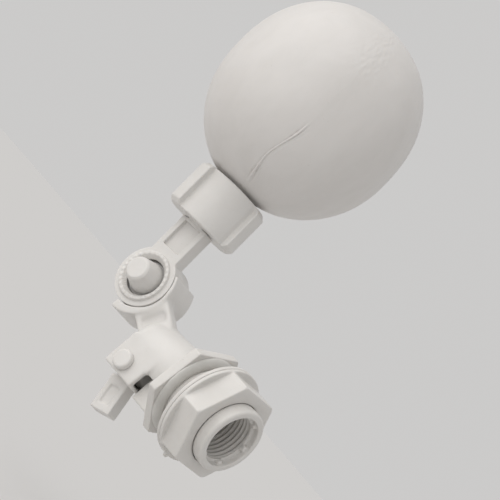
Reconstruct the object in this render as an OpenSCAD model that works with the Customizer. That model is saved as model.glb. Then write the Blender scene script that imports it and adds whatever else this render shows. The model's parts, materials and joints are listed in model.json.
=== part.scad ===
// Float valve: a threaded inlet with a hex flange and tank nut, a pivoting lever that
// pushes a plunger onto its seat, and an adjustable arm with a ball float.
// Frame: X runs along the inlet axis and out of its mouth, Z is up, and Y is the hinge axis.
// The origin is the centre of the flange face that seats on the tank wall.

/* [Inlet and flange] */
// Outside diameter of the tank thread, pipe size 3/4
tank_thread_d = 26.44; // [26.44:0.01:26.44]
// Bore of the inlet socket, pipe size 1/2 thread crests
socket_d = 18.64; // [18:0.02:19]
// Length of the threaded tube in front of the flange
tube_l = 25.7; // [22:0.1:32]
// Width across the flats of the flange and of the tank nut
hex_af = 35; // [32:0.5:38]
// Thickness of the body flange
flange_t = 3.8; // [3:0.1:5]
// Turn of the flange about the inlet axis, degrees
flange_turn = 24; // [0:1:59]

/* [Tank nut] */
// Distance from the flange face to the rear of the tank washer
grip_gap = 8.3; // [7:0.1:10]
// Thickness of the tank washer
tank_washer_t = 1.5; // [1:0.1:2.5]
// Thickness of the nut's round flange
nut_flange_t = 1.6; // [1:0.1:3]
// Height of the nut's hexagon
nut_hex_h = 9.3; // [7:0.1:12]
// Turn of the nut about the inlet axis, degrees
nut_turn = 5; // [0:1:59]

/* [Lever] */
// Pivot behind the flange face
pivot_x = -22.9; // [-25:0.1:-21]
// Pivot below the inlet axis
pivot_z = -10; // [-10.5:0.1:-9]
// Outside radius of the hood
hood_r = 12.2; // [11.8:0.1:13]
// Rear face of the hood
hood_back = -30.5; // [-32:0.1:-29]
// Angle of the neck above the level, degrees
neck_angle = 25.3; // [20:0.1:30]
// Distance from the inlet axis to the ring joint, backwards
ring_x = -49.5; // [-52:0.1:-47]
// Height of the ring joint above the inlet axis
ring_z = 15; // [14:0.1:17]

/* [Arm and float] */
// Lean of the arm away from the upright, degrees
arm_lean = 5.2; // [0:0.1:12]
// Outside radius of the ring joint
ring_r = 12.1; // [11.6:0.05:12.2]
// Width of the arm
arm_w = 13.6; // [11:0.1:14]
// Thickness of the arm
arm_t = 5.8; // [5:0.05:7]
// Distance from the ring joint to the middle of the float
float_reach = 86.4; // [86:0.1:92]
// Half the diameter of the float at its belly
float_r = 37.7; // [34:0.1:38]
// Half the length of the float along the arm
float_half_l = 41; // [40:0.1:41]
// Outside radius of the collar between its two wings
collar_r = 13; // [12:0.1:14]
// Distance across the collar's two wings
wing_span = 31; // [29:0.5:33]
// Turn of the collar about the arm, degrees
collar_turn = 37; // [0:1:179]

/* [Hidden] */
$fn = 72;
plastic = "white";
rubber = "gainsboro";
steel = "silver";
eps = 0.01;

// inlet
thread_r = tank_thread_d / 2;
socket_r = socket_d / 2;
hex_r = hex_af / 2 / cos(30);
mouth_r = 10.6;
mouth_depth = 2.8;
pocket_r = 7;
strainer_x = 2;
strainer_t = 1.4;
strainer_r = 9.1;
inlet_washer_t = 2;
socket_end = strainer_x + strainer_t + inlet_washer_t;
gasket_t = 2;
gasket_r = 16.5;

// barrel, seat and plunger
web_front = -2.5;
web_back = -6;
barrel_r = 6.3;
barrel_back = -22.5;
guide_r = 4.05;
guide_front = -14;
chamber_r = 5;
seat_tip = -8;
orifice_r = 1.6;
nozzle_r = 3;
nozzle_flange_r = 6.6;
nozzle_flange_t = 1.3;
lift = 2.05;
plunger_r = 3.98;
plunger_front = seat_tip - lift - 0.5;
plunger_back = -27.05;
seal_r = 3.3;
seal_t = 2.2;
seal_front = seat_tip - lift;
ring_groove_x = -18;
guide_plate_in = 5.2;
guide_plate_out = 6.8;
guide_plate_back = -12.9;
guide_plate_bottom = -16.4;

// lever
hood_wall = 2;
cheek_in = 9.9;
cheek_bottom = -14.8;
cheek_front = -13.4;
cheek_set = 0.8;
bridge_t = 1.4;
skirt_z = -7.3;
back_wall = 2.5;
nub_r = 1.6;
nub_h = 0.8;
lug_r = 3.1;
lug_half = 9.6;
pin_r = 1.55;
pin_head_r = 3.8;
pin_head_t = 2.4;
pin_gap = 0.1;
hood_tilt = 4;
tilt_x = -10;
saddle_in = 12.5;
saddle_out = 14.7;
saddle_drop = [-0.4, -1.1];
saddle_half = 7.6;
saddle_spread = 66;
seat_disc_r = 11.2;
wall_front = 0.2;
neck_half = 6.75;
neck_t = 6.6;
neck_l = 11.5;
neck_slope = [-1.3, 3.2];
tail_lean = 17;
tail_w = 9;
tail_l = 13.6;
tail_t = 5.8;

// ring joint and arm
joint_front = -7.25;
joint_back = -0.1;
arm_y = joint_front + arm_t / 2;
arm_offset = 0.6;
rim_w = 2.3;
recess = 4.2;
bolt_r = 2.5;
bolt_head_af = 8;
bolt_head_t = 2.8;
knob_base_r = 6.6;
knob_top_r = 4.5;
knob_h = 10.1;
lock_t = 0.8;
panel = 1.5;
border = 2.3;
collar_z = 26.6;
collar_l = 19.1;
wing_arc = 78;
wing_chamfer = 1.6;
collar_floor = 2.5;
thread_bore_r = 8;
head_r = 6.2;
spigot_r = 5;
float_neck_r = 7.9;
float_neck_z = 34.8;
float_bore_r = 5.4;
float_wall = 1.5;
plug_l = 3.6;
squareness = 2.18;

// A cylinder along X between two places.
module along_x(r, from, to) {
    translate([from, 0, 0]) rotate([0, 90, 0]) cylinder(r = r, h = to - from);
}

// A hexagonal bar along X, turned about X.
module hex_x(r, from, to, turn) {
    translate([from, 0, 0]) rotate([0, 90, 0]) rotate([0, 0, turn + 90]) cylinder(r = r, h = to - from, $fn = 6);
}

// A cylinder along Y between two places.
module along_y(r, from, to) {
    translate([0, to, 0]) rotate([90, 0, 0]) cylinder(r = r, h = to - from);
}

// A box given by its two corners.
module block(low, high) {
    translate(low) cube(high - low);
}

// A ring of round section about X.
module o_ring(x, middle_r, section_r) {
    translate([x, 0, 0]) rotate([0, 90, 0]) rotate_extrude() translate([middle_r, 0]) circle(r = section_r, $fn = 24);
}

// Places its children on the ring joint, in the lever's frame with the neck along -X.
module at_ring() {
    translate([ring_x, 0, ring_z]) children();
}

// Places its children on the arm's middle line, which runs along +Z and passes just behind the ring joint.
module on_arm() {
    translate([ring_x, arm_y, ring_z]) rotate([0, -arm_lean, 0]) translate([-arm_offset, 0, 0]) children();
}

// Two plates under the barrel that guide the discharged water straight down.
module discharge_guides() {
    for (side = [0, 1]) mirror([0, side, 0])
        block([guide_plate_back, guide_plate_in, guide_plate_bottom], [-flange_t + eps, guide_plate_out, 0]);
}

module valve_body() {
    color(plastic) difference() {
        union() {
            hex_x(hex_r, -flange_t, 0, flange_turn);
            along_x(thread_r, -eps, tube_l - 0.7);
            translate([tube_l - 0.7, 0, 0]) rotate([0, 90, 0]) cylinder(r1 = thread_r, r2 = thread_r - 0.7, h = 0.7);
            along_x(barrel_r, barrel_back, -flange_t + eps);
            translate([pivot_x, 0, pivot_z]) along_y(lug_r, -lug_half, lug_half);
            block([pivot_x - 2, -5, pivot_z], [pivot_x + 2.2, 5, -4]);
            discharge_guides();
        }
        along_x(socket_r, socket_end, tube_l - mouth_depth + eps);
        along_x(strainer_r + 0.02, strainer_x, socket_end + eps);
        along_x(mouth_r, tube_l - mouth_depth, tube_l + 1);
        along_x(pocket_r, web_front, strainer_x + eps);
        along_x(nozzle_r + 0.02, web_back - eps, web_front + eps);
        translate([web_front - 1.6, 0, 0]) rotate([0, 90, 0]) difference() {
            cylinder(r = 5.5, h = 1.7);
            translate([0, 0, -1]) cylinder(r = 3.7, h = 4);
        }
        along_x(chamber_r, guide_front, web_back);
        along_x(guide_r, barrel_back - 1, guide_front + eps);
        block([guide_front + 1.2, -3, -barrel_r - 1], [web_back - 0.6, 3, 0]);
        translate([pivot_x, 0, pivot_z]) along_y(pin_r, -lug_half - 1, lug_half + 1);
    }
}

module flange_gasket() {
    color(rubber) difference() {
        along_x(gasket_r, 0, gasket_t);
        along_x(thread_r + 0.05, -1, gasket_t + 1);
    }
}

module tank_washer() {
    color(plastic) difference() {
        along_x(hex_r, grip_gap, grip_gap + tank_washer_t);
        along_x(thread_r + 0.08, grip_gap - 1, grip_gap + tank_washer_t + 1);
    }
}

module tank_nut() {
    rear = grip_gap + tank_washer_t;
    front = rear + nut_flange_t + nut_hex_h;
    color(plastic) difference() {
        union() {
            along_x(hex_r, rear, rear + nut_flange_t);
            intersection() {
                hex_x(hex_r, rear, front, nut_turn);
                translate([rear, 0, 0]) rotate([0, 90, 0])
                    cylinder(r1 = hex_r + nut_flange_t + nut_hex_h - 0.8, r2 = hex_r - 0.8, h = front - rear);
            }
        }
        along_x(thread_r + 0.08, rear - 1, front + 1);
    }
}

module nozzle_seat() {
    color(plastic) difference() {
        union() {
            along_x(nozzle_flange_r, web_front, web_front + nozzle_flange_t);
            along_x(nozzle_r, web_back - 0.4, web_front + eps);
            translate([seat_tip, 0, 0]) rotate([0, 90, 0]) cylinder(r1 = 2.2, r2 = nozzle_r, h = web_back - 0.4 - seat_tip + eps);
        }
        along_x(orifice_r, seat_tip - 1, 0);
    }
}

module seat_o_ring() {
    color(rubber) o_ring(web_front - 0.8, 4.6, 0.75);
}

module inlet_strainer() {
    color(plastic) difference() {
        along_x(strainer_r, strainer_x, strainer_x + strainer_t);
        for (ring = [0:3], k = [0:max(0, 6 * ring - 1)])
            rotate([360 * k / max(1, 6 * ring), 0, 0]) translate([0, 0, 1.75 * ring])
                along_x(0.6, strainer_x - 1, strainer_x + strainer_t + 1, $fn = 16);
    }
}

module inlet_washer() {
    from = socket_end - inlet_washer_t;
    color(rubber) difference() {
        along_x(strainer_r, from, socket_end);
        along_x(5.6, from - 1, socket_end + 1);
    }
}

module pivot_pin() {
    outer = hood_r + pin_gap;
    color(plastic) translate([pivot_x, 0, pivot_z]) {
        along_y(pin_r, -outer - eps, outer + 2);
        translate([0, -outer, 0]) rotate([90, 0, 0]) rotate_extrude() difference() {
            square([pin_head_r, pin_head_t]);
            translate([pin_head_r - 0.9, pin_head_t - 0.9]) difference() {
                square([2, 2]);
                circle(r = 0.9, $fn = 32);
            }
        }
    }
}

module pin_retainer() {
    outer = hood_r + pin_gap;
    color(plastic) translate([pivot_x, 0, pivot_z]) difference() {
        along_y(pin_head_r, outer, outer + 1.6);
        along_y(pin_r, outer - 1, outer + 3);
    }
}

module plunger() {
    color(plastic) difference() {
        union() {
            along_x(plunger_r, guide_front - 8, plunger_front);
            along_x(3, plunger_back, guide_front - 8 + eps);
        }
        along_x(seal_r, seal_front - seal_t, plunger_front + 1);
        translate([ring_groove_x - 1.1, 0, 0]) rotate([0, 90, 0]) difference() {
            cylinder(r = 6, h = 2.2);
            translate([0, 0, -1]) cylinder(r = 2.3, h = 5);
        }
    }
}

module plunger_seal() {
    color(rubber) along_x(seal_r, seal_front - seal_t, seal_front);
}

module plunger_o_ring() {
    color(rubber) o_ring(ring_groove_x, 3.2, 0.8);
}

// The hood's solid of turning, from its rear face to the flange, with its rear end tilted down a little.
module hood_solid(r, back, round_r) {
    tilted() rotate([0, -90, 0]) rotate_extrude() intersection() {
        union() {
            square([r - round_r, -back]);
            square([r, -back - round_r]);
            translate([r - round_r, -back - round_r]) circle(r = round_r, $fn = 48);
        }
        square([r + 1, 100]);
    }
}

// Tilts its children with the hood.
module tilted() {
    translate([tilt_x, 0, 0]) rotate([0, -hood_tilt, 0]) translate([-tilt_x, 0, 0]) children();
}

// Everything in front of the hood's leaning front edge.
module hood_front_cut() {
    rotate([90, 0, 0]) translate([0, 0, -30]) linear_extrude(60) polygon([
        [-9, hood_r + 2], [-4.8, skirt_z], [cheek_front + 0.3, skirt_z],
        [cheek_front - 0.3, cheek_bottom - 1], [20, cheek_bottom - 1], [20, hood_r + 2]
    ]);
}

// The neck from the ring joint's saddle to the hood, with its far upper corner sloped off.
module neck() {
    at_ring() rotate([0, neck_angle, 0]) translate([saddle_in + 0.5, 0, 0]) rotate([90, 0, 90]) linear_extrude(neck_l)
        polygon([
            [-neck_t, -neck_half], [-neck_t, neck_half], [neck_slope[0], neck_half],
            [neck_t, neck_slope[1]], [neck_t, -neck_half]
        ]);
}

module neck_panels() {
    at_ring() rotate([0, neck_angle, 0]) translate([0, -neck_t, 0])
        block([saddle_out + 1.8, -panel, -neck_half + 2], [saddle_out + 6, panel, neck_half - 2]);
}

module saddle() {
    at_ring() {
        rotate([90, 0, 0]) rotate([0, 0, -neck_angle - saddle_spread]) difference() {
            translate([0, 0, -saddle_half]) rotate_extrude(angle = 2 * saddle_spread) square([saddle_out + 2, 2 * saddle_half]);
            translate([0, 0, -wall_front]) cylinder(r = saddle_in, h = 20);
            rotate([0, 0, neck_angle + saddle_spread]) translate([saddle_drop[0], saddle_drop[1], -20]) difference() {
                cylinder(r = 30, h = 40);
                translate([0, 0, -1]) cylinder(r = saddle_out, h = 42);
            }
        }
        along_y(seat_disc_r, wall_front, saddle_half);
    }
}

module tail() {
    translate([hood_back + 5.2, 0, cheek_bottom + 0.2]) rotate([0, -tail_lean, 0]) difference() {
        block([-tail_w / 2, -tail_t / 2, -tail_l - 1], [tail_w / 2, tail_t / 2, 0]);
        for (side = [-1, 1]) translate([0, side * tail_t / 2, 0])
            block([-tail_w / 2 + 2.3, -0.7, -tail_l + 2], [tail_w / 2 - 2.3, 0.7, -4]);
    }
}

// The rounded nub on the inside of the hood's back wall, which pushes the plunger.
module nub() {
    translate([hood_back + back_wall - nub_r + nub_h, 0, 0]) sphere(r = nub_r, $fn = 48);
}

module lever() {
    cavity_back = hood_back + back_wall;
    color(plastic) difference() {
        union() {
            difference() {
                hood_solid(hood_r, hood_back, 3.5);
                block([-60, -20, -40], [20, 20, skirt_z]);
            }
            block([hood_back + cheek_set, -hood_r, cheek_bottom], [cheek_front + 1, hood_r, 0]);
            neck();
            saddle();
            tail();
        }
        difference() {
            tilted() along_x(hood_r - hood_wall, cavity_back, 5);
            nub();
        }
        block([cavity_back, -cheek_in, cheek_bottom + bridge_t], [5, cheek_in, -nub_r]);
        hood_front_cut();
        neck_panels();
        translate([pivot_x, 0, pivot_z]) along_y(pin_r + 0.07, -20, 20);
        at_ring() {
            along_y(bolt_r, wall_front - 1, saddle_half + 1);
            translate([0, saddle_half - bolt_head_t - 0.01, 0]) rotate([-90, 0, 0])
                cylinder(r = bolt_head_af / 2 / cos(30) + 0.05, h = 5, $fn = 6);
        }
    }
}

module joint_bolt() {
    color(steel) at_ring() {
        along_y(bolt_r, joint_front - 3, saddle_half - bolt_head_t + eps);
        translate([0, saddle_half - bolt_head_t, 0]) rotate([-90, 0, 0])
            cylinder(r = bolt_head_af / 2 / cos(30), h = bolt_head_t, $fn = 6);
    }
}

module lock_washer() {
    floor_y = joint_front + recess;
    color(steel) at_ring() difference() {
        along_y(5, floor_y - 0.1 - lock_t, floor_y - 0.1);
        along_y(bolt_r, floor_y - 3, floor_y + 1);
    }
}

module clamp_knob() {
    base_y = joint_front + recess - lock_t - 0.2;
    color(plastic) at_ring() translate([0, base_y, 0]) rotate([90, 0, 0]) difference() {
        rotate_extrude() polygon([
            [0, 0], [knob_base_r + 0.6, 0], [knob_base_r + 0.6, 0.9], [knob_base_r, 1.2],
            [knob_top_r + 0.25, knob_h - 0.7], [knob_top_r - 0.5, knob_h], [0, knob_h]
        ]);
        translate([0, 0, -1]) cylinder(r = bolt_r + 0.08, h = 8.4);
    }
}

module float_arm() {
    bar_top = collar_z - 0.2;
    ring_t = joint_back - joint_front;
    front = -arm_t / 2;
    color(plastic) on_arm() difference() {
        union() {
            translate([arm_offset, 0, 0]) along_y(ring_r, front, front + ring_t);
            block([-arm_w / 2, front, 5], [arm_w / 2, arm_t / 2, bar_top]);
            translate([0, 0, bar_top - eps]) cylinder(r = spigot_r, h = collar_floor + 0.6);
            translate([0, 0, collar_z + collar_floor + 0.3]) cylinder(r1 = head_r, r2 = spigot_r - 0.2, h = 2.8);
        }
        translate([arm_offset, 0, 0]) {
            along_y(ring_r - rim_w, front - 1, front + recess);
            along_y(bolt_r + 0.09, -arm_t, arm_t);
        }
        for (side = [-1, 1]) translate([0, side * arm_t / 2, 0])
            block([-arm_w / 2 + border, -panel, ring_r + 1.6], [arm_w / 2 - border, panel, bar_top - 1.2]);
    }
}

module collar_nut() {
    outer = wing_span / 2;
    groove_arc = 180 - wing_arc;
    color(plastic) on_arm() difference() {
        translate([0, 0, collar_z]) rotate_extrude() polygon([
            [0, 0], [outer - wing_chamfer, 0], [outer, wing_chamfer],
            [outer, collar_l - wing_chamfer], [outer - wing_chamfer, collar_l], [0, collar_l]
        ]);
        for (side = [90, 270]) rotate([0, 0, collar_turn + side - groove_arc / 2])
            rotate_extrude(angle = groove_arc) translate([collar_r, collar_z - 1]) square([outer, collar_l + 2]);
        translate([0, 0, collar_z - 1]) cylinder(r = spigot_r + 0.09, h = 5);
        translate([0, 0, collar_z + collar_floor]) cylinder(r = thread_bore_r, h = collar_l);
    }
}

module collar_washer() {
    color(rubber) on_arm() translate([0, 0, float_neck_z - 1.6]) difference() {
        cylinder(r = thread_bore_r - 0.1, h = 1.6);
        translate([0, 0, -1]) cylinder(r = 4, h = 4);
    }
}

// Radius of the float's outline at a height above its middle.
function belly(z, r, l) = r * pow(1 - pow(abs(z) / l, squareness), 1 / squareness);

// Half outline of the float, from the bottom pole to the top pole.
function outline(r, l, steps) = [for (k = [0:steps]) let (z = -l * cos(180 * k / steps)) [belly(z, r, l), z]];

module float_shell() {
    mouth_z = float_neck_z - float_reach;
    color(plastic) on_arm() translate([0, 0, float_reach]) rotate_extrude() difference() {
        union() {
            polygon(outline(float_r, float_half_l, 48));
            translate([0, mouth_z]) square([float_neck_r, 12]);
        }
        polygon(outline(float_r - float_wall, float_half_l - float_wall, 48));
        translate([-1, mouth_z - 1]) square([float_bore_r + 1, 12]);
        translate([-1, -60]) square([1, 120]);
    }
}

module float_plug() {
    color(plastic) on_arm() translate([0, 0, float_neck_z]) cylinder(r = float_bore_r - 0.02, h = plug_l);
}

valve_body();
flange_gasket();
tank_washer();
tank_nut();
nozzle_seat();
seat_o_ring();
inlet_strainer();
inlet_washer();
pivot_pin();
pin_retainer();
plunger();
plunger_seal();
plunger_o_ring();
lever();
joint_bolt();
lock_washer();
clamp_knob();
float_arm();
collar_nut();
collar_washer();
float_shell();
float_plug();
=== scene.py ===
"""Float valve: moulded detail, materials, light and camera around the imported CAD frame."""
import json
import math
import bmesh
import bpy
from mathutils import Matrix, Vector, noise


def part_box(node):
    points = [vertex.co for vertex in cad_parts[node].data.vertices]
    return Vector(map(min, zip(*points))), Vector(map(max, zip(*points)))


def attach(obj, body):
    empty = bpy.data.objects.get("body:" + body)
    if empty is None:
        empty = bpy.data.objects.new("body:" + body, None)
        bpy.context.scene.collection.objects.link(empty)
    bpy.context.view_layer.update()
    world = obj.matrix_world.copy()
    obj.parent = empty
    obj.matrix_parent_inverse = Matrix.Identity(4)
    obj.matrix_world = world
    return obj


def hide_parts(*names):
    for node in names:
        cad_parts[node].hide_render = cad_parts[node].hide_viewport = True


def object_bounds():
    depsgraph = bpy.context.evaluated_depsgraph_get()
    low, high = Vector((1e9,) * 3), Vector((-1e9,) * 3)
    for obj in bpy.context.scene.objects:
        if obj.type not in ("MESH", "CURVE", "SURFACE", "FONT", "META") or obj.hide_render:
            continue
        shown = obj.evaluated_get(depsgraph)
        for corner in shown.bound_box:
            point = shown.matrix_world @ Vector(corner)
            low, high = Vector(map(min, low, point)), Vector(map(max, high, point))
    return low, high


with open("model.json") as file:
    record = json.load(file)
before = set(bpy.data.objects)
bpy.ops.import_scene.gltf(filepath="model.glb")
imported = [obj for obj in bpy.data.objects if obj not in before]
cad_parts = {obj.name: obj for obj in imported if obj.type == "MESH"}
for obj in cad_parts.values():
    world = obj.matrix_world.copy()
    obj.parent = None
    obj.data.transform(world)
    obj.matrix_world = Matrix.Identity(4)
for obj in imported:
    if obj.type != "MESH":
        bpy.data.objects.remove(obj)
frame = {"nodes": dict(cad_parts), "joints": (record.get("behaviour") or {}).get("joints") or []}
nodes = frame["nodes"]
cad_box = [list(corner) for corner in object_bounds()]

MM = 0.001
JOINTS = {joint["name"]: joint for joint in frame["joints"]}
PIPE_PITCH = 1.814 * MM


# ---------- places taken from the frame ----------

def box(node):
    """Lowest corner and highest corner of a CAD node."""
    low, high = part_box(node)
    return Vector(low), Vector(high)


def arm_frame():
    """The arm's own axes: its middle line is local Z, and the hinge axis is local Y."""
    joint = JOINTS["float_turn"]
    along = Vector(joint["axis"]).normalized()
    across = Vector((0, 1, 0))
    side = across.cross(along).normalized()
    turn = Matrix((side, across, along)).transposed().to_4x4()
    return Matrix.Translation(Vector(joint["pos_m"])) @ turn


ARM = arm_frame()
INLET_MOUTH = box("valve_body")[1].x
TUBE_R = 13.22 * MM
SOCKET_R = 9.32 * MM
WELD = 0.001 * MM

STUDIO_TONE = 0.6
KEY_STRENGTH = 2.1
KEY_FROM = Vector((-0.44, -0.82, 0.37)).normalized()
FLOAT_DROP = 42 * MM


# ---------- mesh helpers ----------

def linked(name, mesh):
    """An object of a mesh, in the scene."""
    obj = bpy.data.objects.new(name, mesh)
    bpy.context.scene.collection.objects.link(obj)
    return obj


def shaded(mesh):
    """Smooth shading on every face."""
    for face in mesh.polygons:
        face.use_smooth = True


def meshed(name, bm):
    """Ends a bmesh and gives its mesh."""
    mesh = bpy.data.meshes.new(name)
    bm.to_mesh(mesh)
    bm.free()
    return mesh


def banded(bm, low, high):
    """A band of four-sided faces between two rings of points."""
    steps = len(low)
    for k in range(steps):
        bm.faces.new((low[k], low[(k + 1) % steps], high[(k + 1) % steps], high[k]))


def settled(obj):
    """Turns the modifiers of an object into its mesh."""
    bpy.context.view_layer.update()
    depsgraph = bpy.context.evaluated_depsgraph_get()
    mesh = bpy.data.meshes.new_from_object(obj.evaluated_get(depsgraph))
    obj.modifiers.clear()
    old = obj.data
    obj.data = mesh
    bpy.data.meshes.remove(old)
    mesh.name = obj.name
    shaded(mesh)


def copied(name, sources):
    """One welded mesh object made from CAD nodes and bmesh-built helpers."""
    bm = bmesh.new()
    for source in sources:
        bm.from_mesh(source)
    bmesh.ops.remove_doubles(bm, verts=bm.verts, dist=WELD)
    return linked(name, meshed(name, bm))


def moulded(name, sources, voxel, passes):
    """Skins closed solids with one even surface and softens its edges, as a mould does."""
    obj = copied(name, sources)
    skin = obj.modifiers.new("skin", "REMESH")
    skin.mode = "VOXEL"
    skin.voxel_size = voxel
    soft = obj.modifiers.new("soft", "SMOOTH")
    soft.factor = 0.5
    soft.iterations = passes
    settled(obj)
    return obj


def relaxed(obj, centre, reach, passes):
    """Blends the surface into a wide fillet around one place, fading out at its reach."""
    group = obj.vertex_groups.new(name="fillet")
    for vertex in obj.data.vertices:
        near = 1 - (vertex.co - centre).length / reach
        if near > 0:
            group.add([vertex.index], min(1.0, 2 * near), "REPLACE")
    soft = obj.modifiers.new("fillet", "SMOOTH")
    soft.factor = 0.5
    soft.iterations = passes
    soft.vertex_group = group.name
    settled(obj)
    obj.vertex_groups.clear()


def turned(name, outline, place, steps=120):
    """A closed ring turned about the local Z axis from a loop of (radius, height) points in mm."""
    bm = bmesh.new()
    rings = []
    for radius, height in outline:
        ring = []
        for k in range(steps):
            angle = 2 * math.pi * k / steps
            point = Vector((radius * math.cos(angle), radius * math.sin(angle), height)) * MM
            ring.append(bm.verts.new(place @ point))
        rings.append(ring)
    for low, high in zip(rings, rings[1:] + rings[:1]):
        banded(bm, low, high)
    bmesh.ops.recalc_face_normals(bm, faces=bm.faces)
    mesh = meshed(name, bm)
    shaded(mesh)
    return mesh


def slab(name, low, high, place):
    """A closed box between two corners of a local frame, to be skinned with its neighbours."""
    bm = bmesh.new()
    corners = bmesh.ops.create_cube(bm, size=1)["verts"]
    for vertex in corners:
        share = vertex.co + Vector((0.5, 0.5, 0.5))
        local = Vector(low[k] + share[k] * (high[k] - low[k]) for k in range(3))
        vertex.co = place @ local
    return meshed(name, bm)


def placed(obj, body, material, stands_for):
    """Gives a piece its material and body, in place of a CAD node."""
    obj.data.materials.clear()
    obj.data.materials.append(material)
    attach(obj, body)
    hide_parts(stands_for)


# ---------- materials ----------

class Look:
    """A procedural material: colour clouds, mould grain, waviness and uneven gloss."""

    def __init__(self, name):
        self.material = bpy.data.materials.new(name)
        self.material.use_nodes = True
        self.tree = self.material.node_tree
        self.shader = self.tree.nodes["Principled BSDF"]
        self.coords = self.tree.nodes.new("ShaderNodeTexCoord")
        self.bump = None

    def node(self, kind, **inputs):
        """A shader node with the given input values."""
        made = self.tree.nodes.new(kind)
        for key, value in inputs.items():
            made.inputs[key.replace("_", " ")].default_value = value
        return made

    def link(self, a, b):
        self.tree.links.new(a, b)

    def noise(self, scale, detail=3.0, roughness=0.5, distortion=0.0, stretch=None):
        """Noise over the object's own coordinates, stretched where asked."""
        made = self.node("ShaderNodeTexNoise", Scale=scale, Detail=detail)
        made.inputs["Roughness"].default_value = roughness
        made.inputs["Distortion"].default_value = distortion
        source = self.coords.outputs["Object"]
        if stretch:
            mapping = self.tree.nodes.new("ShaderNodeMapping")
            mapping.inputs["Scale"].default_value = stretch
            self.link(source, mapping.inputs["Vector"])
            source = mapping.outputs["Vector"]
        self.link(source, made.inputs["Vector"])
        return made.outputs["Fac"]

    def mapped(self, value, low, high, to_low, to_high):
        """A value's range moved to another range."""
        made = self.node("ShaderNodeMapRange")
        made.inputs["From Min"].default_value = low
        made.inputs["From Max"].default_value = high
        made.inputs["To Min"].default_value = to_low
        made.inputs["To Max"].default_value = to_high
        self.link(value, made.inputs["Value"])
        return made.outputs["Result"]

    def mixed(self, share, first, second):
        """Two colours, or a socket and a colour, mixed by a share."""
        made = self.tree.nodes.new("ShaderNodeMix")
        made.data_type = "RGBA"
        self.link(share, made.inputs["Factor"])
        for socket, value in ((made.inputs[6], first), (made.inputs[7], second)):
            if isinstance(value, tuple):
                socket.default_value = (*value, 1)
            else:
                self.link(value, socket)
        return made.outputs[2]

    def relief(self, height, strength, distance):
        """Adds one layer of bump over the layers before it."""
        made = self.node("ShaderNodeBump", Strength=strength, Distance=distance)
        self.link(height, made.inputs["Height"])
        if self.bump:
            self.link(self.bump, made.inputs["Normal"])
        self.bump = made.outputs["Normal"]

    def finish(self, colour, gloss):
        """Links colour, gloss and bump to the shader, and gives the material."""
        self.link(colour, self.shader.inputs["Base Color"])
        self.link(gloss, self.shader.inputs["Roughness"])
        self.link(self.bump, self.shader.inputs["Normal"])
        return self.material


def plastic(name, light, shade, speck_and_crease_shade, gloss=(0.33, 0.5), waviness=0.08 * MM, streak=(1, 1, 1)):
    """Moulded plastic: faint clouds of colour, painted shade darkening its creases, fine grain and
    shallow sink marks.
    """
    look = Look(name)
    clouds = look.mapped(look.noise(75, 4, 0.6, 0.4, streak), 0.35, 0.68, 0, 1)
    colour = look.mixed(clouds, light, shade)
    geometry = look.tree.nodes.new("ShaderNodeNewGeometry")
    # painted shade: creases and hollows (low pointiness) are darkened toward the crease colour, which
    # also colours the dark specks
    painted_crease_shade = look.mapped(geometry.outputs["Pointiness"], 0.40, 0.49, 1, 0)
    colour = look.mixed(painted_crease_shade, colour, speck_and_crease_shade)
    speck = look.mapped(look.noise(900, 2, 0.5), 0.70, 0.78, 0, 0.35)
    colour = look.mixed(speck, colour, speck_and_crease_shade)
    rough = look.mapped(look.noise(320, 4, 0.6, 0.0, streak), 0.3, 0.7, *gloss)
    look.relief(look.noise(140, 2, 0.5, 0.3, streak), 0.35, waviness)
    look.relief(look.noise(4200, 2, 0.6), 0.25, 0.02 * MM)
    shader = look.shader
    shader.inputs["Specular IOR Level"].default_value = 0.45
    shader.inputs["Subsurface Weight"].default_value = 0.12
    shader.inputs["Subsurface Radius"].default_value = (1.0, 0.9, 0.8)
    shader.inputs["Subsurface Scale"].default_value = 1.2 * MM
    return look.finish(colour, rough)


def rubber(name):
    """Pale matt rubber with a fine grain."""
    look = Look(name)
    clouds = look.mapped(look.noise(160, 3), 0.3, 0.7, 0, 1)
    colour = look.mixed(clouds, (0.66, 0.65, 0.625), (0.59, 0.58, 0.555))
    look.relief(look.noise(2600, 3, 0.7), 0.5, 0.04 * MM)
    rough = look.mapped(look.noise(500, 3), 0.3, 0.7, 0.62, 0.85)
    return look.finish(colour, rough)


def steel(name):
    """Brushed steel with streaks across the local Y axis."""
    look = Look(name)
    colour = look.mixed(look.noise(90, 4), (0.60, 0.60, 0.58), (0.48, 0.48, 0.47))
    look.relief(look.noise(600, 2, 0.5, 0.0, (1, 9, 1)), 0.3, 0.02 * MM)
    rough = look.mapped(look.noise(700, 3, 0.6, 0.0, (1, 12, 1)), 0.3, 0.7, 0.24, 0.45)
    look.shader.inputs["Metallic"].default_value = 1.0
    return look.finish(colour, rough)


# The third colour of each plastic is the painted shade of its creases, also used for its dark specks.
BODY_WHITE = plastic("body_white", (0.700, 0.683, 0.660), (0.655, 0.638, 0.612), (0.47, 0.45, 0.42))
LEVER_WHITE = plastic("lever_white", (0.715, 0.700, 0.680), (0.672, 0.656, 0.634), (0.50, 0.475, 0.44))
SKIN_WHITE = plastic(
    "float_skin_white", (0.700, 0.680, 0.662), (0.665, 0.645, 0.625), (0.56, 0.535, 0.505),
    gloss=(0.38, 0.55), waviness=0.22 * MM, streak=(1, 1, 0.35))
INNER_WHITE = plastic("inner_white", (0.70, 0.69, 0.66), (0.64, 0.63, 0.60), (0.52, 0.50, 0.46))
RUBBER = rubber("pale_rubber")
STEEL = steel("brushed_steel")


# ---------- valve body, nut and washers ----------

def groove(place, turn):
    """A rounded thread profile, 0 on the crest and 1 in the root."""
    return 0.5 - 0.5 * math.cos(2 * math.pi * place / PIPE_PITCH - turn)


def faded(place, low, high, run):
    """1 between two places, falling to 0 over a run at each end."""
    return max(0.0, min(1.0, (place - low) / run, (high - place) / run))


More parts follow.
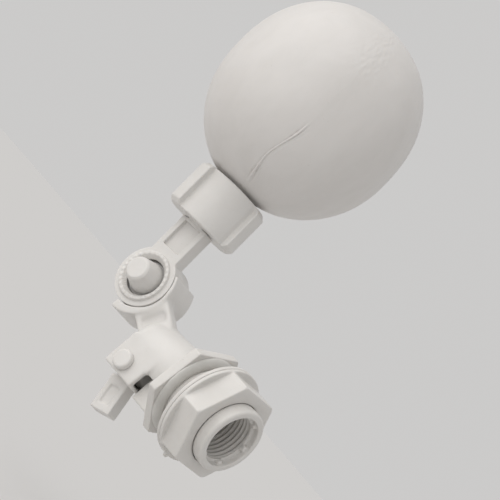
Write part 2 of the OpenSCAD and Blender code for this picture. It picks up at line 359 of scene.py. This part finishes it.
def cut_threads(mesh, inner_span, outer_span, inner_depth, outer_depth):
    """Moves the socket's wall out and the tube's wall in, to leave screw threads."""
    reach = 0.45 * MM
    for vertex in mesh.vertices:
        x, y, z = vertex.co
        radius = math.hypot(y, z)
        turn = math.atan2(z, y)
        shift = 0.0
        if abs(radius - SOCKET_R) < reach:
            shift = inner_depth * groove(x, turn) * faded(x, *inner_span, 1.2 * MM)
        elif abs(radius - TUBE_R) < reach:
            shift = -outer_depth * groove(x, turn) * faded(x, *outer_span, 1.5 * MM)
        if shift:
            scale = (radius + shift) / radius
            vertex.co = (x, y * scale, z * scale)


def mouth_lugs(count, first):
    """Small lugs round the ledge inside the mouth, from which the socket is gripped."""
    ledge = INLET_MOUTH - 2.8 * MM
    lugs = []
    for k in range(count):
        spin = Matrix.Rotation(math.radians(first + 360 * k / count), 4, "X")
        low = (ledge - 0.8 * MM, SOCKET_R + 0.1 * MM, -1.0 * MM)
        high = (ledge + 1.5 * MM, SOCKET_R + 1.8 * MM, 1.0 * MM)
        lugs.append(slab("lug", low, high, spin))
    return lugs


def body_casting():
    """The body with its mouth lugs and both pipe threads."""
    sources = [nodes["valve_body"].data] + mouth_lugs(count=6, first=8)
    obj = moulded("body_casting", sources, voxel=0.33 * MM, passes=4)
    nut_front = box("tank_nut")[1].x
    washer_seat = box("flange_gasket")[1].x
    socket_end = box("inlet_washer")[1].x
    inner_span = (socket_end, INLET_MOUTH - 2.9 * MM)
    outer_span = (washer_seat, nut_front + 0.6 * MM)
    cut_threads(obj.data, inner_span, outer_span, inner_depth=0.7 * MM, outer_depth=0.8 * MM)
    placed(obj, "root", BODY_WHITE, "valve_body")


def tank_nut():
    """The nut, with a trimmed flash nub on the rim of its round flange."""
    rear = box("tank_nut")[0].x
    downwards = Matrix.Rotation(math.radians(270), 4, "X")
    low = (rear + 0.2 * MM, 19.4 * MM, -0.9 * MM)
    high = (rear + 1.5 * MM, 21.3 * MM, 0.9 * MM)
    flash = slab("flash", low, high, downwards)
    obj = moulded("nut_moulding", [nodes["tank_nut"].data, flash], voxel=0.27 * MM, passes=10)
    placed(obj, "nut", BODY_WHITE, "tank_nut")


def gasket():
    """The soft gasket on the flange, with a rounded, tapering rim."""
    outline = [
        (13.3, 0.02), (17.2, 0.02), (17.3, 0.3), (17.0, 0.8), (16.4, 1.3), (15.7, 1.7), (14.9, 1.95),
        (13.4, 2.0)]
    mesh = turned("soft_gasket", outline, Matrix.Rotation(math.pi / 2, 4, "Y"))
    placed(linked("soft_gasket", mesh), "root", RUBBER, "flange_gasket")


def washers():
    """The small round mouldings: slip washer, pin and its retainer."""
    for node, body, slot, material, voxel in (
            ("tank_washer", "slip_washer", "moulded_white", BODY_WHITE, 0.25 * MM),
            ("pivot_pin", "root", "moulded_white", LEVER_WHITE, 0.16 * MM),
            ("pin_retainer", "root", "moulded_white", LEVER_WHITE, 0.14 * MM)):
        obj = moulded(node + "_soft", [nodes[node].data], voxel, passes=5)
        placed(obj, body, material, node)


# ---------- lever, knob and arm ----------

def lever_casting():
    """The lever, with wide fillets under its neck and on the near cheek."""
    obj = moulded("lever_casting", [nodes["lever"].data], voxel=0.31 * MM, passes=11)
    pivot = Vector(JOINTS["lever_swing"]["pos_m"])
    neck_root = pivot + Vector((-7.5, -1.5, 18.5)) * MM
    near_cheek = pivot + Vector((5, -10, 6)) * MM
    relaxed(obj, neck_root, reach=12.5 * MM, passes=140)
    relaxed(obj, near_cheek, reach=13 * MM, passes=50)
    placed(obj, "lever", LEVER_WHITE, "lever")


def clamp_knob():
    """The frustum-shaped knob in the ring."""
    obj = moulded("clamp_knob_soft", [nodes["clamp_knob"].data], voxel=0.16 * MM, passes=9)
    placed(obj, "knob", LEVER_WHITE, "clamp_knob")


def float_arm():
    """The arm, with the stepped and toothed recess of its ring."""
    sources = [nodes["float_arm"].data] + ring_teeth(count=28)
    obj = moulded("arm_moulding", sources, voxel=0.2 * MM, passes=9)
    placed(obj, "arm", LEVER_WHITE, "float_arm")


def ring_teeth(count):
    """A step round the ring's recess, with short radial ridges on it."""
    step_y = box("float_arm")[0].y + 2.2 * MM
    centre = Vector(JOINTS["arm_tilt"]["pos_m"])
    outline = [(7.4, -2.2), (7.4, -1.7), (8.7, 0), (10, 0), (10, -2.2)]
    facing = Matrix.Translation((centre.x, step_y, centre.z)) @ Matrix.Rotation(math.pi / 2, 4, "X")
    low = (8.7 * MM, step_y - 0.22 * MM, -0.4 * MM)
    high = (9.9 * MM, step_y + 0.3 * MM, 0.4 * MM)
    teeth = [turned("recess_step", outline, facing)]
    for k in range(count):
        spin = Matrix.Rotation(2 * math.pi * k / count, 4, "Y")
        place = Matrix.Translation((centre.x, 0, centre.z)) @ spin
        teeth.append(slab("tooth", low, high, place))
    return teeth


def collar():
    """The winged collar under the float."""
    obj = moulded("collar_moulding", [nodes["collar_nut"].data], voxel=0.27 * MM, passes=10)
    placed(obj, "float", LEVER_WHITE, "collar_nut")


# ---------- float ----------

SEAM = math.radians(-49)
SQUARENESS = 2.18
NECK_R = 7.9 * MM
NECK_END = 34.8 * MM
SEAM_CROWDING = 0.72
POLE_GAP = 0.004
FLAT_FLANK = Vector((0.52, 0.39, 0.76)).normalized()


def float_size():
    """Half width, half length and middle height of the float along the arm."""
    inverse = ARM.inverted()
    places = [inverse @ vertex.co for vertex in nodes["float_shell"].data.vertices]
    half_width = max(abs(place.y) for place in places)
    top = max(place.z for place in places)
    middle = max(places, key=lambda place: abs(place.y)).z
    return half_width, top - middle, middle


def turn_from(turn, start):
    """The turn from one direction to another, between half a turn either way."""
    return math.atan2(math.sin(turn - start), math.cos(turn - start))


def seam_relief(slope, turn, width):
    """Height of the parting seam: a fine line all round, a wrinkled double scar low on the near side."""
    offset = turn_from(turn, SEAM) * width * math.sin(slope)
    back_offset = turn_from(turn, SEAM + math.pi) * width * math.sin(slope)
    wander = noise.noise(Vector((slope * 3, 0, 1.7))) * 0.9 * MM + bow(slope)
    height = 0.0
    for line in (offset, back_offset):
        height += 0.03 * MM * math.exp(-((line - wander) / (0.45 * MM)) ** 2)
    scar = faded(slope, math.radians(22), math.radians(76), math.radians(9))
    if scar > 0 and abs(offset) < 6 * MM:
        gap = 1.7 * MM * (0.75 + 0.4 * math.sin(slope * 5))
        for side, depth in ((-1, 0.34), (1, 0.46), (3.1, 0.16)):
            ripple = 0.75 + 0.5 * noise.noise(Vector((slope * 30, side, 0)))
            line = offset - wander - side * gap * 0.5
            height -= scar * ripple * depth * MM * math.exp(-(line / (0.32 * MM)) ** 2)
        height += scar * 0.36 * MM * math.exp(-((offset - wander) / (0.36 * MM)) ** 2)
    return height


def bow(slope):
    """Sideways bow of the scar between the neck and the belly."""
    share = faded(slope, math.radians(20), math.radians(80), math.radians(30))
    return -1.9 * MM * share * share * (3 - 2 * share)


def flank_relief(spot):
    """A flatter patch low on the float's far side."""
    away = spot.angle(FLAT_FLANK)
    return -0.5 * MM * math.exp(-(away / math.radians(24)) ** 2)


def pinch_relief(slope, turn):
    """Short folds near the far pole, where the parison was pinched off."""
    far = faded(slope, math.radians(108), math.radians(160), math.radians(12))
    if far <= 0:
        return 0.0
    across = turn_from(turn, SEAM)
    patch = math.exp(-(across / 0.22) ** 2)
    return 0.12 * MM * far * patch * noise.noise(Vector((slope * 16, across * 22, 5.0)))


def float_ball():
    """The float as a neck and a squarish ball, with its rows from the neck to the far pole."""
    half_width, half_length, middle = float_size()
    rings = 240
    steps = 390
    bm = bmesh.new()
    neck_top = middle - half_length + 0.5 * MM
    neck = [(NECK_R * 0.96, NECK_END), (NECK_R, NECK_END + 0.4 * MM), (NECK_R, neck_top)]
    first_slope = math.asin(min(1.0, NECK_R * 1.03 / half_width))
    rows = []
    for radius, height in neck:
        rows.append([(radius, turn_angle(k, steps), height, None) for k in range(steps)])
    for i in range(rings + 1):
        slope = first_slope + (math.pi - first_slope - POLE_GAP) * i / rings
        rows.append([(None, turn_angle(k, steps), None, slope) for k in range(steps)])
    grid = []
    for row in rows:
        places = [ARM @ float_point(point, half_width, half_length, middle) for point in row]
        grid.append([bm.verts.new(place) for place in places])
    for low, high in zip(grid, grid[1:]):
        banded(bm, low, high)
    bm.faces.new(tuple(reversed(grid[0])))
    bm.faces.new(tuple(grid[-1]))
    mesh = meshed("float_ball", bm)
    shaded(mesh)
    placed(linked("float_ball", mesh), "float", SKIN_WHITE, "float_shell")


def turn_angle(k, steps):
    """Evenly numbered turns, drawn closer together near the seam."""
    even = 2 * math.pi * k / steps
    return SEAM + even - SEAM_CROWDING * math.sin(even)


def float_point(point, half_width, half_length, middle):
    """A point of the float's skin, with its seam, pinch folds and slow dents."""
    radius, turn, height, slope = point
    if slope is None:
        return Vector((radius * math.cos(turn), radius * math.sin(turn), height))
    level = abs(math.sin(slope)) / half_width
    upright = abs(math.cos(slope)) / half_length
    reach = (level ** SQUARENESS + upright ** SQUARENESS) ** (-1 / SQUARENESS)
    spot = Vector((math.sin(slope) * math.cos(turn), math.sin(slope) * math.sin(turn), math.cos(slope)))
    slow_dents = 0.2 * MM * noise.noise(spot * 2.2)
    small_dents = 0.04 * MM * noise.noise(spot * 9)
    inset = 0.3 * MM
    relief = seam_relief(slope, turn, half_width) + pinch_relief(slope, turn)
    reach += relief + slow_dents + small_dents - inset + flank_relief(spot)
    flat = reach * math.sin(slope)
    return Vector((flat * math.cos(turn), flat * math.sin(turn), middle - reach * math.cos(slope)))


# ---------- light, floor and camera ----------

def camera():
    """Looks at the valve from its mouth's side, level with it and rolled to the right."""
    right = Vector((0.54, 0.3766, 0.7527)).normalized()
    back = Vector((0.605, -0.7954, -0.0362)).normalized()
    up = back.cross(right).normalized()
    right = up.cross(back).normalized()
    data = bpy.data.cameras.new("camera")
    cam = bpy.data.objects.new("camera", data)
    bpy.context.scene.collection.objects.link(cam)
    target = Vector((-11.9, -27.1, 48.5)) * MM
    distance = 902 * MM
    turn = Matrix((right, up, back)).transposed().to_4x4()
    cam.matrix_world = Matrix.Translation(target + back * distance) @ turn
    data.sensor_width = 36
    data.lens = 187.2
    data.clip_start = 0.05
    data.clip_end = 20
    bpy.context.scene.camera = cam


def light():
    """An even studio, and one wide soft key light from the upper left."""
    world = bpy.data.worlds.new("studio")
    bpy.context.scene.world = world
    world.use_nodes = True
    background = world.node_tree.nodes["Background"]
    background.inputs["Color"].default_value = (1.0, 0.99, 0.98, 1)
    background.inputs["Strength"].default_value = STUDIO_TONE
    data = bpy.data.lights.new("key", "SUN")
    data.energy = KEY_STRENGTH
    data.angle = math.radians(95)
    data.color = (1.0, 0.985, 0.965)
    sun = bpy.data.objects.new("key", data)
    sun.rotation_mode = "QUATERNION"
    sun.rotation_quaternion = KEY_FROM.to_track_quat("Z", "Y")
    bpy.context.scene.collection.objects.link(sun)


def floor():
    """A plain pale floor below the float's lowest swing, lit to the studio's own tone."""
    bm = bmesh.new()
    reach = 12
    height = cad_box[0][2] - FLOAT_DROP
    corners = ((-reach, -reach), (reach, -reach), (reach, reach), (-reach, reach))
    bm.faces.new([bm.verts.new((x, y, height)) for x, y in corners])
    mesh = meshed("floor", bm)
    obj = linked("floor", mesh)
    tone = STUDIO_TONE / (STUDIO_TONE + KEY_STRENGTH * KEY_FROM.z / math.pi)
    mat = bpy.data.materials.new("floor")
    mat.use_nodes = True
    shader = mat.node_tree.nodes["Principled BSDF"]
    shader.inputs["Base Color"].default_value = (tone, tone * 0.99, tone * 0.98, 1)
    shader.inputs["Roughness"].default_value = 1
    shader.inputs["Specular IOR Level"].default_value = 0
    mesh.materials.append(mat)


bpy.context.scene.view_settings.view_transform = "Standard"
camera()
light()
floor()

body_casting()
tank_nut()
gasket()
washers()
lever_casting()
clamp_knob()
float_arm()
collar()
float_ball()

INNER = {
    "nozzle_seat": INNER_WHITE, "inlet_strainer": INNER_WHITE,
    "plunger": INNER_WHITE, "float_plug": INNER_WHITE,
    "seat_o_ring": RUBBER, "inlet_washer": RUBBER, "plunger_seal": RUBBER, "plunger_o_ring": RUBBER,
    "collar_washer": RUBBER, "joint_bolt": STEEL, "lock_washer": STEEL}
for node, material in INNER.items():
    nodes[node].data.materials.clear()
    nodes[node].data.materials.append(material)
